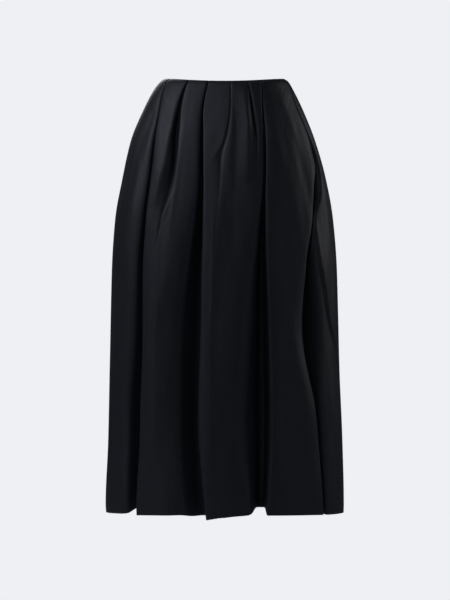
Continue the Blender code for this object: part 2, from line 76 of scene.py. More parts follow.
# A fold runs from waist to hem. At each station it has
#   line     bearing of its middle, in degrees
#   gap      width of its mouth, in millimetres
#   depth    how far its floor lies inside the outline, in millimetres
#   tuck     how far the floor is pushed under the edge of higher bearing, in millimetres
#   soft_a   rounding of the edge of lower bearing, in millimetres
#   soft_b   rounding of the edge of higher bearing, in millimetres
# and lift says how far the hem rises before it, at its first edge, floor and second edge, and after it,
# in millimetres. A fold that ends above the hem has a depth of zero from there down.
STATIONS = (0.000, 0.060, 0.110, 0.165, 0.230, 0.300, 0.390, 0.530, 0.700, 0.908)
Fold = namedtuple("Fold", "name line gap depth tuck soft_a soft_b lift")

FRONT_FOLDS = (
    Fold("side left",
         line=(-64.0, -54.2, -49.4, -47.7, -47.2, -47.6, -48.8, -49.2, -51.6, -50.6),
         gap=(5.0, 6.5, 8.0, 12.5, 14.0, 16.0, 19.0, 28.0, 40.0, 26.0),
         depth=(3.5, 12.0, 18.0, 23.0, 28.0, 31.0, 36.0, 46.0, 56.0, 56.0),
         tuck=(3.0, 3.0, 2.0, 1.0, -1.0, -2.0, -3.0, -5.0, -9.0, -5.0),
         soft_a=(3.0, 6.0, 9.0, 12.0, 15.0, 17.0, 19.0, 20.0, 20.0, 10.0),
         soft_b=(2.0, 3.0, 4.0, 5.0, 6.0, 8.0, 12.0, 12.5, 15.0, 12.0),
         lift=(2.5, 4.0, 15.0, 0.0, 0.0)),
    Fold("front left",
         line=(-35.2, -33.6, -31.8, -31.0, -32.3, -35.2, -38.0, -39.5, -39.5, -39.5),
         gap=(4.5, 9.0, 14.0, 15.0, 19.0, 9.0, 5.5, 5.5, 5.5, 5.5),
         depth=(3.0, 10.0, 15.0, 14.5, 11.0, 3.0, 0.0, 0.0, 0.0, 0.0),
         tuck=(1.0, -3.0, -5.0, 0.0, 4.0, 1.0, 0.0, 0.0, 0.0, 0.0),
         soft_a=(3.0, 3.0, 3.0, 4.0, 9.0, 7.0, 4.0, 2.5, 2.5, 2.5),
         soft_b=(2.0, 3.0, 4.0, 4.0, 4.0, 5.0, 4.0, 2.5, 2.5, 2.5),
         lift=(0.0, 0.0, 0.0, 0.0, 0.0)),
    Fold("centre left",
         line=(-15.2, -15.9, -14.6, -13.8, -13.3, -13.9, -15.6, -18.3, -18.8, -14.9),
         gap=(5.0, 6.0, 9.5, 12.0, 15.5, 23.0, 35.0, 55.0, 52.0, 55.0),
         depth=(4.5, 12.0, 18.0, 24.0, 31.0, 39.0, 47.0, 56.0, 58.0, 50.0),
         tuck=(4.0, 4.0, 5.0, 6.0, 6.0, 7.0, 9.0, 14.0, 12.0, 14.0),
         soft_a=(3.0, 8.0, 12.0, 18.0, 24.0, 28.0, 34.0, 42.0, 42.0, 26.0),
         soft_b=(2.0, 3.0, 4.0, 7.0, 13.0, 18.0, 19.0, 17.0, 20.0, 6.0),
         lift=(0.0, 0.0, -3.0, -9.5, -8.5)),
    Fold("front middle",
         line=(5.6, 4.4, 1.9, -2.0, -2.8, -3.6, -4.0, -4.4, -4.4, -4.4),
         gap=(4.5, 5.0, 7.0, 12.0, 8.0, 6.0, 6.0, 6.0, 6.0, 6.0),
         depth=(0.3, 1.8, 2.6, 2.2, 0.7, 0.0, 0.0, 0.0, 0.0, 0.0),
         tuck=(0.0, 0.0, 0.0, 0.0, 0.0, 0.0, 0.0, 0.0, 0.0, 0.0),
         soft_a=(2.0, 3.0, 5.0, 8.0, 8.0, 5.0, 4.0, 4.0, 4.0, 4.0),
         soft_b=(2.5, 2.5, 3.0, 4.0, 5.0, 5.0, 4.0, 4.0, 4.0, 4.0),
         lift=(-7.8, -7.2, -6.6, -6.0, -5.4)),
    Fold("front right",
         line=(21.9, 20.7, 20.6, 19.9, 15.8, 10.5, 5.2, 2.5, 1.5, 1.5),
         gap=(4.5, 8.0, 7.0, 5.5, 5.0, 5.0, 5.0, 5.0, 5.0, 5.0),
         depth=(0.2, 10.0, 7.0, 0.2, 0.0, 0.0, 0.0, 0.0, 0.0, 0.0),
         tuck=(0.0, -2.3, -1.6, 0.0, 0.0, 0.0, 0.0, 0.0, 0.0, 0.0),
         soft_a=(2.0, 1.8, 2.0, 3.0, 4.0, 4.0, 4.0, 4.0, 4.0, 4.0),
         soft_b=(3.0, 4.0, 3.0, 2.0, 2.5, 3.0, 3.0, 3.0, 3.0, 3.0),
         lift=(-4.6, -4.2, -3.8, -3.4, -3.0)),
    Fold("centre right",
         line=(35.5, 29.4, 26.8, 24.6, 22.2, 20.2, 18.8, 18.2, 16.9, 16.6),
         gap=(6.5, 6.0, 7.5, 7.5, 8.0, 14.5, 26.0, 40.0, 54.0, 35.0),
         depth=(0.4, 11.0, 16.0, 20.0, 25.0, 31.0, 38.0, 48.0, 54.0, 46.0),
         tuck=(0.0, 2.0, 4.0, 6.0, 7.0, 8.0, 10.0, 16.0, 22.0, 16.0),
         soft_a=(3.0, 4.0, 4.0, 3.5, 7.0, 12.0, 16.0, 24.0, 26.0, 6.0),
         soft_b=(4.0, 11.0, 7.0, 4.0, 4.0, 7.0, 8.0, 7.0, 7.0, 5.0),
         lift=(0.5, 3.0, 14.0, 0.0, 0.0)),
    Fold("side right",
         line=(79.5, 68.4, 70.0, 70.9, 63.5, 54.0, 49.3, 49.8, 54.2, 56.3),
         gap=(6.0, 6.0, 6.0, 20.0, 30.0, 8.0, 22.0, 48.0, 17.0, 12.0),
         depth=(0.6, 2.5, 5.0, 14.0, 22.0, 22.0, 28.0, 44.0, 32.0, 26.0),
         tuck=(0.0, 0.0, -1.0, 2.0, 4.0, -2.0, 0.0, 8.0, 2.0, 0.0),
         soft_a=(3.0, 3.0, 3.0, 3.0, 3.0, 5.0, 12.0, 22.0, 16.0, 6.0),
         soft_b=(3.0, 4.0, 6.0, 8.0, 12.0, 10.0, 16.0, 26.0, 26.0, 16.0),
         lift=(0.0, 0.0, 2.0, 0.0, 0.0)),
)
# How many columns each land has, from the first seam to the last
FRONT_LANDS = (3, 1, 1, 1, 1, 1, 2, 2)

# Soft ridges, and troughs where the height is below zero, that lie on the lands between the folds. Each
# follows bearings at its own drops and fades out at both ends. Left and right are the widths, in
# millimetres, over which it dies away towards lower and higher bearings.
Crease = namedtuple("Crease", "name drops bearings height left right")

FRONT_CREASES = (
    Crease("tuck beside the left corner", (0.004, 0.012, 0.024),
           (-68.6, -67.0, -64.4), -0.7, 2.0, 2.0),
    Crease("roll beside the left side fold", (0.300, 0.400, 0.530, 0.700, 0.880),
           (-44.6, -44.6, -44.0, -44.6, -45.4), -3.0, 7.0, 12.0),
    Crease("swell beside the left pleat", (0.004, 0.050, 0.110, 0.165, 0.270),
           (-37.2, -36.6, -34.8, -35.0, -38.8), 5.0, 21.0, 3.5),
    Crease("outer ridge of the left pleat", (0.030, 0.065, 0.111, 0.145, 0.168, 0.196, 0.233, 0.330),
           (-36.8, -36.6, -35.0, -34.8, -35.4, -37.6, -39.0, -40.4), 1.4, 5.0, 3.0),
    Crease("inner ridge of the left pleat", (0.090, 0.145, 0.196, 0.240, 0.300, 0.380),
           (-27.0, -27.4, -27.6, -28.0, -28.9, -31.0), 1.6, 3.0, 7.0),
    Crease("slanting ridge of the left pleat", (0.235, 0.262, 0.285, 0.310),
           (-29.4, -31.2, -33.3, -36.4), 1.4, 4.0, 4.0),
    Crease("trough of the left lobe", (0.270, 0.310, 0.360, 0.420),
           (-33.4, -33.8, -34.0, -33.0), -1.0, 5.0, 5.0),
    Crease("upper lobe of the left pleat", (0.300, 0.360, 0.440, 0.540),
           (-38.0, -37.6, -36.4, -35.4), 1.2, 8.0, 8.0),
    Crease("line beside the centre pleat", (0.000, 0.045, 0.100),
           (-13.8, -12.7, -11.5), -0.7, 1.6, 3.0),
    Crease("pressed ridge of the centre panel", (0.230, 0.316, 0.458, 0.551, 0.656, 0.772, 0.908),
           (-8.0, -6.8, -6.6, -8.7, -8.9, -9.1, -9.0), 2.0, 6.0, 12.0),
    Crease("pressed line of the middle pleat", (0.010, 0.060, 0.110, 0.165, 0.230, 0.300, 0.400),
           (6.2, 5.4, 3.4, 0.4, -1.4, -3.0, -4.4), 0.5, 2.8, 7.0),
    Crease("trough beside the middle pleat", (0.030, 0.080, 0.127, 0.180, 0.260),
           (7.2, 7.4, 7.2, 6.0, 4.6), -2.0, 5.0, 6.0),
    Crease("streak of the middle pleat", (0.120, 0.140, 0.158, 0.176),
           (0.4, -2.6, -5.6, -8.4), 1.3, 3.5, 3.5),
    Crease("hollow over the streak", (0.096, 0.120, 0.150),
           (-1.6, -4.0, -7.4), -1.2, 5.0, 4.0),
    Crease("swell between the small pleats", (0.012, 0.060, 0.120, 0.215),
           (17.4, 16.7, 15.5, 13.4), 7.0, 13.0, 4.8),
    Crease("tuck of the right pleat", (0.026, 0.046, 0.074),
           (35.6, 34.6, 33.2), -1.0, 1.8, 2.4),
    Crease("rim left of the right side fold", (0.040, 0.070, 0.110, 0.150),
           (66.0, 65.2, 67.0, 68.0), 1.0, 6.0, 3.0),
    Crease("second ridge of the right side fold", (0.290, 0.340, 0.381, 0.426, 0.493, 0.574, 0.610),
           (55.8, 56.2, 57.4, 60.5, 64.9, 76.8, 81.0), 5.4, 4.5, 7.0),
    Crease("drag at the right hip", (0.190, 0.220, 0.262),
           (76.0, 77.0, 79.0), -1.0, 4.0, 5.0),
)
# The power of the sine that a crease's height follows along it, and the depth into a fold by which all
# creases have died away
CREASE_POWER = 0.75
CREASE_DEPTH = 12.0 * MM

# Gentle unevenness all over: height in millimetres, turns round the body, turns from waist to hem, and
# phase. It fades in over the drop given after them.
SWELLS = (
    (0.80, 9.0, 1.7, 0.4),
    (0.60, 14.0, -2.3, 1.9),
    (0.35, 25.0, 2.9, 3.1),
    (0.16, 41.0, -4.2, 5.0),
)
SWELL_START = 0.10


def smooth(drop, drops, values):
    """Monotone cubic: Hermite curves through the values. A slope is the harmonic mean of the two chords
    beside it, and is level where they change sign."""
    place = np.asarray(drops, float)
    height = np.asarray(values, float)
    width = np.diff(place)
    chord = np.diff(height) / width
    slope = np.zeros_like(height)
    product = chord[:-1] * chord[1:]
    total = chord[:-1] + chord[1:]
    turning = product <= 0.0
    slope[1:-1] = np.where(turning, 0.0, 2.0 * product / np.where(turning, 1.0, total))
    slope[0] = chord[0]
    slope[-1] = chord[-1]
    index = np.clip(np.searchsorted(place, drop, side="right") - 1, 0, len(width) - 1)
    span = width[index]
    t = (drop - place[index]) / span
    rise = t * t * (3.0 - 2.0 * t)
    start_bend = t * (1.0 - t) ** 2 * span * slope[index]
    end_bend = t * t * (t - 1.0) * span * slope[index + 1]
    return height[index] * (1.0 - rise) + height[index + 1] * rise + start_bend + end_bend


def outline_radii(bearing, drop):
    """Half width and half depth of the ellipse quarter that each bearing, in radians, lies in."""
    sizes = dict(zip(OUTLINE_COLUMNS, zip(*OUTLINE)))
    left, right, front, back = (smooth(drop, sizes["drop"], sizes[side]) for side in OUTLINE_COLUMNS[1:])
    half_width = np.where(np.sin(bearing) > 0.0, right, left)
    half_depth = np.where(np.cos(bearing) > 0.0, front, back)
    return half_width, half_depth


def arc_rate(bearing, drop):
    """Metres along the outline for each radian of bearing."""
    half_width, half_depth = outline_radii(bearing, drop)
    return np.hypot(half_width * np.cos(bearing), half_depth * np.sin(bearing))


def cloth_point(bearing, depth, lift, drop):
    """The outline's point at a bearing, moved in along the outline's normal by depth. In front the waist
    dips and the hem rises with the cosine squared. A fold lifts the hem with the drop's fourth power."""
    half_width, half_depth = outline_radii(bearing, drop)
    rate = np.hypot(half_width * np.cos(bearing), half_depth * np.sin(bearing))
    normal_x = half_depth * np.sin(bearing) / rate
    normal_y = -half_width * np.cos(bearing) / rate
    share = drop / SKIRT_LENGTH
    facing = np.clip(np.cos(bearing), 0.0, 1.0) ** 2
    x = half_width * np.sin(bearing) - depth * normal_x
    y = -half_depth * np.cos(bearing) - depth * normal_y
    z = -drop - WAIST_DIP * facing * (1.0 - share) + HEM_RISE * facing * share + lift * share ** 4
    return np.stack([x, y, z], axis=-1)


# Share of a fold's mouth that its floor takes to each side, the least that leaves room for two layers,
# the shares of its rounding by which the rolled edge, the crisp edge and a shoulder drop below the
# outline, and the rounding that makes an edge fully rolled
FLOOR_SHARE = 0.12
LEAST_FLOOR = 1.6 * MM
ROLL_DROP = 0.72
EDGE_DROP = 0.35
SHOULDER_DROP = 0.05
FULL_ROLL = 30.0 * MM


def fold_columns(fold, drop):
    """Eight columns of cloth across a fold: shoulder, edge, wall, two on the floor, wall, edge, shoulder.
    Each is a bearing in radians, a depth and a hem lift."""
    line = np.radians(smooth(drop, STATIONS, fold.line))
    gap, depth, tuck, soft_a, soft_b = (
        MM * smooth(drop, STATIONS, column)
        for column in (fold.gap, fold.depth, fold.tuck, fold.soft_a, fold.soft_b))
    floor = np.maximum(FLOOR_SHARE * gap, LEAST_FLOOR)
    before, lift_a, lift_floor, lift_b, after = (MM * value + 0.0 * drop for value in fold.lift)
    edge_a = -gap / 2
    edge_b = gap / 2
    floor_a = tuck - floor
    floor_b = tuck + floor
    drop_a = soft_a * depth / (depth + soft_a)
    drop_b = soft_b * depth / (depth + soft_b)
    roll = EDGE_DROP + (ROLL_DROP - EDGE_DROP) * np.clip(soft_a / FULL_ROLL, 0.0, 1.0)
    across = (edge_a - soft_a, edge_a, (edge_a + floor_a) / 2, floor_a,
              floor_b, (edge_b + floor_b) / 2, edge_b, edge_b + soft_b)
    depths = (SHOULDER_DROP * drop_a, roll * drop_a, (roll * drop_a + depth) / 2, depth,
              depth, depth / 2, EDGE_DROP * drop_b, SHOULDER_DROP * drop_b)
    lifts = (before, lift_a, lift_floor, lift_floor, lift_floor, lift_floor, lift_b, after)
    rate = arc_rate(line, drop)
    return [(line + offset / rate, deep, lift) for offset, deep, lift in zip(across, depths, lifts)]


def panel_columns(folds, first_edge, last_edge, land_counts, drop):
    """Columns of a whole panel: its first edge, then lands and folds in turn, then its last edge. A land
    has the given number of columns on the outline, evenly between its neighbours."""
    level = np.zeros_like(drop)
    columns = [(first_edge + level, level, level)]
    for fold, count in zip(list(folds) + [None], land_counts):
        following = fold_columns(fold, drop) if fold else [(last_edge + level, level, level)]
        start, end = columns[-1], following[0]
        for step in range(1, count + 1):
            share = step / (count + 1)
            bearing = start[0] + (end[0] - start[0]) * share
            lift = start[2] + (end[2] - start[2]) * share
            columns.append((bearing, level, lift))
        columns.extend(following)
    bearing, depth, lift = (np.stack(values, axis=1) for values in zip(*columns))
    return bearing, depth, lift


# The most, on average, that a finished column takes of the distance round the body and in depth
COLUMN_SPACING = 3.2 * MM


def finer_columns(bearing, depth, lift, drop):
    """Centripetal Catmull-Rom curves across the columns, in the plane of distance round the body and
    depth. Each span is parted evenly, in two at least, so that its mean width keeps to the spacing."""
    radius = (sum(outline_radii(bearing, drop[:, None] + 0.0 * bearing)) / 2).mean(axis=1, keepdims=True)
    points = np.stack([bearing * radius, depth, lift], axis=-1)
    chord = np.linalg.norm(np.diff(points, axis=1), axis=2, keepdims=True)
    root = np.sqrt(chord)
    pace = np.diff(points, axis=1) / root
    tangent = np.empty_like(points)
    tangent[:, 1:-1] = ((root[:, 1:] * pace[:, :-1] + root[:, :-1] * pace[:, 1:])
                        / (root[:, 1:] + root[:, :-1]))
    tangent[:, 0] = 2.0 * pace[:, 0] - tangent[:, 1]
    tangent[:, -1] = 2.0 * pace[:, -1] - tangent[:, -2]
    counts = np.maximum(2, np.ceil(chord.mean(axis=0)[:, 0] / COLUMN_SPACING)).astype(int)
    span = np.repeat(np.arange(len(counts)), counts)
    t = (np.arange(len(span)) - np.repeat(np.cumsum(counts) - counts, counts)) / counts[span]
    t = t[None, :, None]
    start, end = points[:, span], points[:, span + 1]
    leave, arrive = tangent[:, span] * root[:, span], tangent[:, span + 1] * root[:, span]
    curve = ((2 * t ** 3 - 3 * t ** 2 + 1) * start + (t ** 3 - 2 * t ** 2 + t) * leave
             + (-2 * t ** 3 + 3 * t ** 2) * end + (t ** 3 - t ** 2) * arrive)
    curve = np.concatenate([curve, points[:, -1:]], axis=1)
    return curve[..., 0] / radius, curve[..., 1], curve[..., 2]


def crease_height(bearing, depth, drop, creases):
    """Sum of the creases' heights above the cloth. Across, each is a bell curve of its distance in
    millimetres, with one width to either side. Along, it is half a sine wave to a power below one."""
    rate = arc_rate(bearing, drop)
    height = np.zeros_like(bearing)
    for crease in creases:
        start, end = crease.drops[0], crease.drops[-1]
        share = np.clip((drop - start) / (end - start), 0.0, 1.0)
        line = np.radians(smooth(np.clip(drop, start, end), crease.drops, crease.bearings))
        away = (bearing - line) * rate / MM
        width = np.where(away < 0.0, crease.left, crease.right)
        along = np.clip(np.sin(np.pi * share), 0.0, 1.0) ** CREASE_POWER
        height += crease.height * MM * np.exp(-(away / width) ** 2) * along
    return height * np.clip(1.0 - depth / CREASE_DEPTH, 0.0, 1.0)


def swell_height(bearing, drop):
    """Sum of sine waves round the body and down it, that fade in below the waist."""
    share = drop / SKIRT_LENGTH
    height = np.zeros_like(bearing)
    for size, turns, falls, phase in SWELLS:
        height += size * MM * np.sin(turns * bearing + 2.0 * np.pi * falls * share + phase)
    return height * np.clip(drop / SWELL_START, 0.0, 1.0)


def surface_normals(grid):
    """Unit normals of a grid of points, from the cross product of its two directions."""
    along = np.gradient(grid, axis=1)
    down = np.gradient(grid, axis=0)
    normal = np.cross(down, along)
    return normal / np.linalg.norm(normal, axis=2, keepdims=True)


def linked(name, data):
    """A new object that holds the data, linked to the scene."""
    made = bpy.data.objects.new(name, data)
    bpy.context.collection.objects.link(made)
    return made


def closed_wall(name, grid, outer, inner, place, map_name):
    """A grid of points made a closed wall, moved along its normals out by outer and in by inner. Place
    holds each point's two coordinates on the wall's own map, in metres."""
    normal = surface_normals(grid)
    points = np.concatenate([grid + normal * outer, grid - normal * inner]).reshape(-1, 3)
    rows, columns = grid.shape[:2]
    outside = np.arange(rows * columns).reshape(rows, columns)
    inside = outside + rows * columns
    faces = []

    def add(a, b, c, d):
        faces.append(np.stack([a.ravel(), b.ravel(), c.ravel(), d.ravel()], axis=1))

    add(outside[:-1, :-1], outside[1:, :-1], outside[1:, 1:], outside[:-1, 1:])
    add(inside[:-1, :-1], inside[:-1, 1:], inside[1:, 1:], inside[1:, :-1])
    add(outside[0, :-1], outside[0, 1:], inside[0, 1:], inside[0, :-1])
    add(outside[-1, :-1], inside[-1, :-1], inside[-1, 1:], outside[-1, 1:])
    add(outside[:-1, 0], inside[:-1, 0], inside[1:, 0], outside[1:, 0])
    add(outside[:-1, -1], outside[1:, -1], inside[1:, -1], inside[:-1, -1])
    faces = np.concatenate(faces)
    mesh = bpy.data.meshes.new(name)
    mesh.from_pydata(points.tolist(), [], faces.tolist())
    corners = np.concatenate([place.reshape(-1, 2)] * 2)[faces.ravel()]
    mesh.uv_layers.new(name=map_name).data.foreach_set("uv", corners.ravel().astype(np.float32))
    mesh.shade_smooth()
    return linked(name, mesh)


# The seam edges of a panel roll in by this much over this width, and its swells fade out near them. Its
# hem is turned up once inside: how far, how thick, and the height of the step at its top.
SEAM_ROLL = 0.7 * MM
SEAM_ROLL_WIDTH = 1.8 * MM
SWELL_FADE = 22.0 * MM
HEM_TURN = 0.028
HEM_LAYER = 0.7 * MM
HEM_STEP = 1.5 * MM

# How far the centre back parts at its top for the zip, to each side, and over what drop
PARTING = 1.6 * MM
PARTING_DROP = 0.026


def half_seam(seam, drop):
    """Half the gap of a seam, as radians of bearing. The centre back parts at its top for the zip."""
    parting = PARTING * np.clip(1.0 - drop / PARTING_DROP, 0.0, 1.0)
    half_gap = SEAM_GAP / 2 + (parting if abs(seam) == BACK_SEAM else 0.0)
    return half_gap / arc_rate(math.radians(seam) + 0.0 * drop, drop)


def panel_mesh(name, folds, creases, first_seam, last_seam, land_counts, drop):
    """A cloth panel between two seams: fold columns made finer, raised by creases and swells, then given
    a wall. On the map, u is the distance round the row and v is the drop."""
    first_edge = math.radians(first_seam) + half_seam(first_seam, drop)
    last_edge = math.radians(last_seam) - half_seam(last_seam, drop)
    bearing, depth, lift = panel_columns(folds, first_edge, last_edge, land_counts, drop)
    bearing, depth, lift = finer_columns(bearing, depth, lift, drop)
    down = drop[:, None] + 0.0 * bearing
    from_seam = np.minimum(bearing - bearing[:, :1], bearing[:, -1:] - bearing) * arc_rate(bearing, down)
    swell = swell_height(bearing, down) * (1.0 - np.exp(-(from_seam / SWELL_FADE) ** 2))
    depth = depth + SEAM_ROLL * np.exp(-(from_seam / SEAM_ROLL_WIDTH) ** 2)
    depth = depth - crease_height(bearing, depth, down, creases) - swell
    grid = cloth_point(bearing, depth, lift, down)
    turned = np.clip((drop - (SKIRT_LENGTH - HEM_TURN)) / HEM_STEP, 0.0, 1.0)
    inner = (CLOTH / 2 + HEM_LAYER * turned)[:, None, None]
    steps = np.linalg.norm(np.diff(grid, axis=1), axis=2)
    around = np.concatenate([np.zeros((len(drop), 1)), np.cumsum(steps, axis=1)], axis=1)
    place = np.stack([around - around[:, -1:] / 2, down], axis=-1)
    return closed_wall(name, grid, CLOTH / 2, inner, place, "cloth")


# The dye's darkest and lightest shades, the range of its roughness, and its sheen
SATIN_DARK = (0.0100, 0.0108, 0.0148)
SATIN_LIGHT = (0.0129, 0.0138, 0.0184)
SATIN_ROUGHNESS = (0.46, 0.54)
SATIN_SPECULAR = 0.18
SATIN_TINT = (0.78, 0.86, 1.0, 1.0)

# Noises of the satin: cells for each metre round the body and down it, and detail. The warp moves the
# shade and the roughness through ranges of its own, and the cloud makes the roughness broadly uneven.
WARP = (620.0, 22.0, 3.0)
WARP_SHADE = (-0.6, 1.6)
WARP_GLOSS = (-0.09, 0.09)
GLOSS_CLOUD = (22.0, 9.0, 2.0)

# The satin's relief, from broad to fine, each with its noise and its height
RELIEFS = (
    ("crumple", (30.0, 9.0, 3.0), 1.3 * MM),
    ("creasing", (95.0, 30.0, 2.0), 0.25 * MM),
    ("slubs", (900.0, 60.0, 2.0), 0.045 * MM),
    ("warp floats", (2600.0, 900.0, 1.0), 0.03 * MM),
)


def satin_material():
    """Woven black satin: a nearly black dye with a cool, broad sheen. Fine warp floats and soft crumpling
    come from noise on the cloth's own map."""
    material = bpy.data.materials.new("black satin")
    material.use_nodes = True
    nodes = material.node_tree.nodes
    links = material.node_tree.links
    shader = nodes["Principled BSDF"]
    shader.inputs["Specular IOR Level"].default_value = SATIN_SPECULAR
    shader.inputs["Specular Tint"].default_value = SATIN_TINT
    cloth_map = nodes.new("ShaderNodeUVMap")
    cloth_map.uv_map = "cloth"

    def noise(scale_u, scale_v, detail):
        spread = nodes.new("ShaderNodeMapping")
        spread.inputs["Scale"].default_value = (scale_u, scale_v, 1.0)
        links.new(cloth_map.outputs["UV"], spread.inputs["Vector"])
        pattern = nodes.new("ShaderNodeTexNoise")
        pattern.inputs["Scale"].default_value = 1.0
        pattern.inputs["Detail"].default_value = detail
        links.new(spread.outputs["Vector"], pattern.inputs["Vector"])
        return pattern.outputs["Fac"]

    def graded(value, low, high):
        scale = nodes.new("ShaderNodeMapRange")
        scale.inputs["To Min"].default_value = low
        scale.inputs["To Max"].default_value = high
        links.new(value, scale.inputs["Value"])
        return scale.outputs["Result"]

    warp = noise(*WARP)
    blend = nodes.new("ShaderNodeMix")
    blend.data_type = "RGBA"
    blend.inputs["A"].default_value = (*SATIN_DARK, 1.0)
    blend.inputs["B"].default_value = (*SATIN_LIGHT, 1.0)
    links.new(graded(warp, *WARP_SHADE), blend.inputs["Factor"])
    links.new(blend.outputs["Result"], shader.inputs["Base Color"])
    uneven = nodes.new("ShaderNodeMath")
    uneven.operation = "ADD"
    links.new(graded(noise(*GLOSS_CLOUD), *SATIN_ROUGHNESS), uneven.inputs[0])
    links.new(graded(warp, *WARP_GLOSS), uneven.inputs[1])
    links.new(uneven.outputs["Value"], shader.inputs["Roughness"])
    under = None
    for label, cells, height in RELIEFS:
        bump = nodes.new("ShaderNodeBump")
        bump.name = label
        bump.inputs["Distance"].default_value = height
        links.new(noise(*cells), bump.inputs["Height"])
        if under:
            links.new(under, bump.inputs["Normal"])
        under = bump.outputs["Normal"]
    links.new(under, shader.inputs["Normal"])
    return material


satin = satin_material()

# Drops of the panels' rows: close at the waist and in the hem, and closer over the pleats than below them
ROWS = np.concatenate([np.linspace(0.0, 0.030, 10)[:-1], np.linspace(0.030, 0.330, 62)[:-1],
                       np.linspace(0.330, 0.879, 68)[:-1], np.linspace(0.879, SKIRT_LENGTH, 9)])


def sew_panel(node, folds, creases, first_seam, last_seam, land_counts):
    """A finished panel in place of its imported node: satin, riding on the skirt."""
    panel = panel_mesh(node + "_cloth", folds, creases, first_seam, last_seam, land_counts, ROWS)
    panel.data.materials.append(satin)
    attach(panel, "skirt")
    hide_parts(node)


sew_panel("skirt_front", FRONT_FOLDS, FRONT_CREASES, -SIDE_SEAM, SIDE_SEAM, FRONT_LANDS)

# Back
# Two panels of the same satin meet down the centre back, with pleats that turn towards the side seams.
BACK_RIGHT_FOLDS = (
    Fold("back side right",
         line=(105.0, 107.0, 108.5, 109.7, 110.0, 110.0, 109.8, 109.0, 108.0, 109.0),
         gap=(5.0, 7.0, 7.7, 8.9, 10.9, 13.2, 17.6, 26.0, 34.0, 30.0),
         depth=(4.5, 10.0, 13.6, 17.5, 22.1, 26.7, 32.2, 40.0, 48.0, 44.0),
         tuck=(5.0, 5.0, 5.0, 5.0, 5.1, 5.8, 7.2, 10.0, 12.0, 8.0),
         soft_a=(3.0, 5.0, 7.7, 11.5, 15.7, 19.1, 23.4, 28.0, 28.0, 10.0),
         soft_b=(2.0, 3.0, 3.0, 3.4, 4.3, 4.8, 5.8, 7.0, 7.0, 5.0),
         lift=(1.0, 2.0, 8.0, 0.0, 0.0)),
    Fold("back right",
         line=(131.0, 130.0, 129.6, 129.7, 130.4, 131.4, 131.8, 132.0, 132.0, 132.0),
         gap=(5.0, 7.0, 11.8, 13.7, 13.6, 11.4, 10.1, 9.0, 9.0, 9.0),
         depth=(3.0, 11.0, 13.7, 13.4, 10.2, 4.9, 2.0, 0.0, 0.0, 0.0),
         tuck=(3.0, 4.0, 4.0, 3.2, 1.3, 0.1, 0.0, 0.0, 0.0, 0.0),
         soft_a=(3.0, 5.0, 6.4, 8.0, 9.8, 11.7, 12.9, 14.0, 14.0, 14.0),
         soft_b=(2.0, 3.0, 3.7, 4.4, 5.8, 8.4, 11.2, 14.0, 14.0, 14.0),
         lift=(0.0, 0.0, 0.0, 0.0, 0.0)),
    Fold("back centre right",
         line=(155.0, 155.0, 155.3, 155.8, 156.0, 156.0, 155.7, 154.5, 153.5, 153.0),
         gap=(5.0, 6.0, 7.3, 9.8, 13.7, 17.7, 25.2, 38.0, 46.0, 42.0),
         depth=(4.5, 12.0, 16.4, 20.9, 27.0, 34.3, 41.6, 50.0, 54.0, 48.0),
         tuck=(5.0, 5.0, 5.0, 5.3, 6.6, 8.5, 10.8, 14.0, 16.0, 12.0),
         soft_a=(3.0, 7.0, 11.1, 17.6, 24.4, 28.9, 34.3, 40.0, 38.0, 22.0),
         soft_b=(2.0, 3.0, 3.0, 3.4, 4.6, 5.9, 6.0, 6.0, 5.0, 4.0),
         lift=(0.0, 0.0, 3.0, -5.0, -4.5)),
)
BACK_RIGHT_LANDS = (1, 1, 1, 2)
